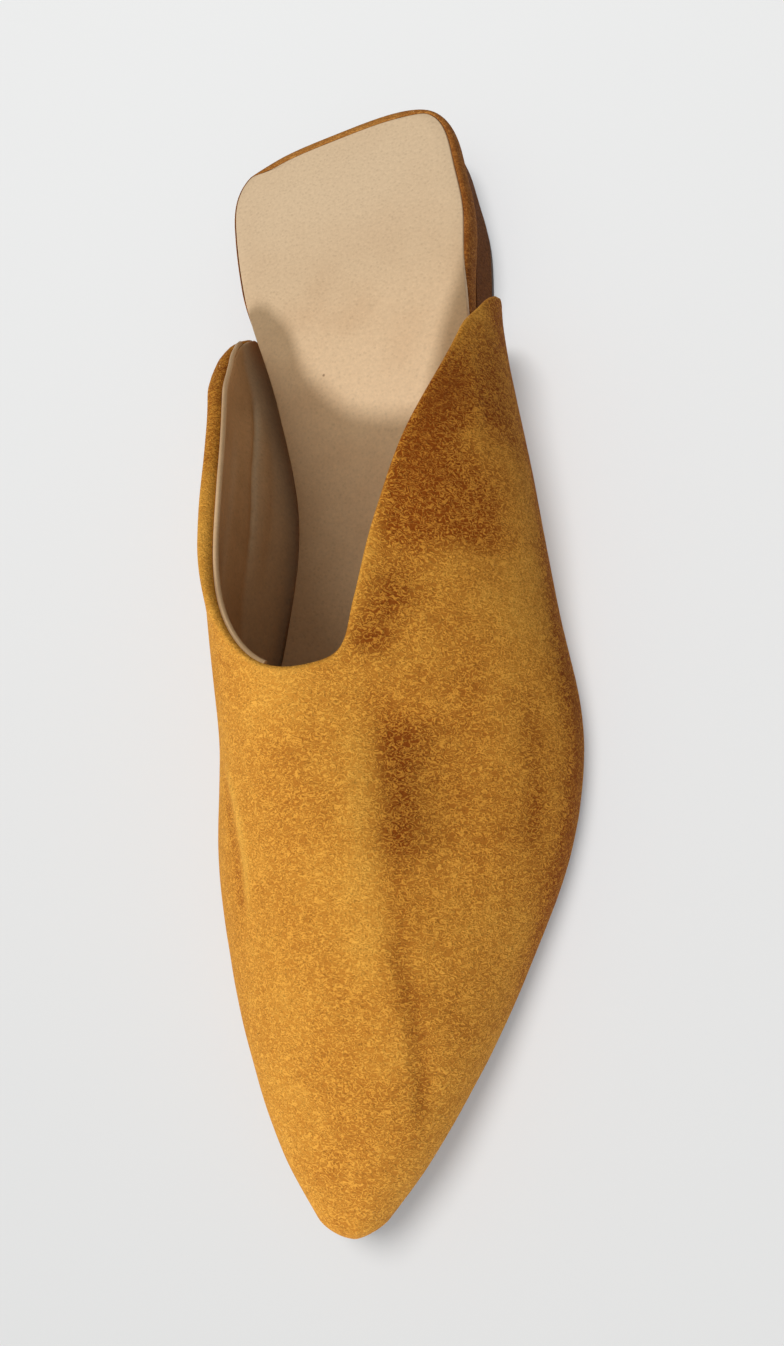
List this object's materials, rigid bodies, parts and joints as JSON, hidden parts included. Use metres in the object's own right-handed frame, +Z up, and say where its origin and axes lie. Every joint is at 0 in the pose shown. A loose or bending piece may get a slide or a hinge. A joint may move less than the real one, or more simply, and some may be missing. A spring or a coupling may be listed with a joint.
{
  "type": "flat mule",
  "caption": "Left flat pointed mule: soft hollow upper with tapering wings and an open back, leather insole on a footbed, low covered heel, thin outsole.",
  "frame": {"origin": "on the floor, under the middle of the whole shoe's box", "axes": "toe towards -Y, heel towards +Y, lateral (outer) side towards +X, +Z up from the floor"},
  "size_m": [0.086, 0.265, 0.0511],
  "materials": {
    "suede": "mustard suede with a short worm-like nap, no gloss",
    "heel_cover": "the same suede in shade, slightly darker",
    "insole_leather": "smooth sand-beige lining leather with fine pores",
    "sole": "thin tan sole, matt",
    "lift": "dark brown wear layer, matt"
  },
  "bodies": {
    "root": {"upper": "suede", "footbed": "suede", "heel": "heel_cover", "insole": "insole_leather", "outsole": "sole", "top_lift": "lift"}
  },
  "joints": []
}
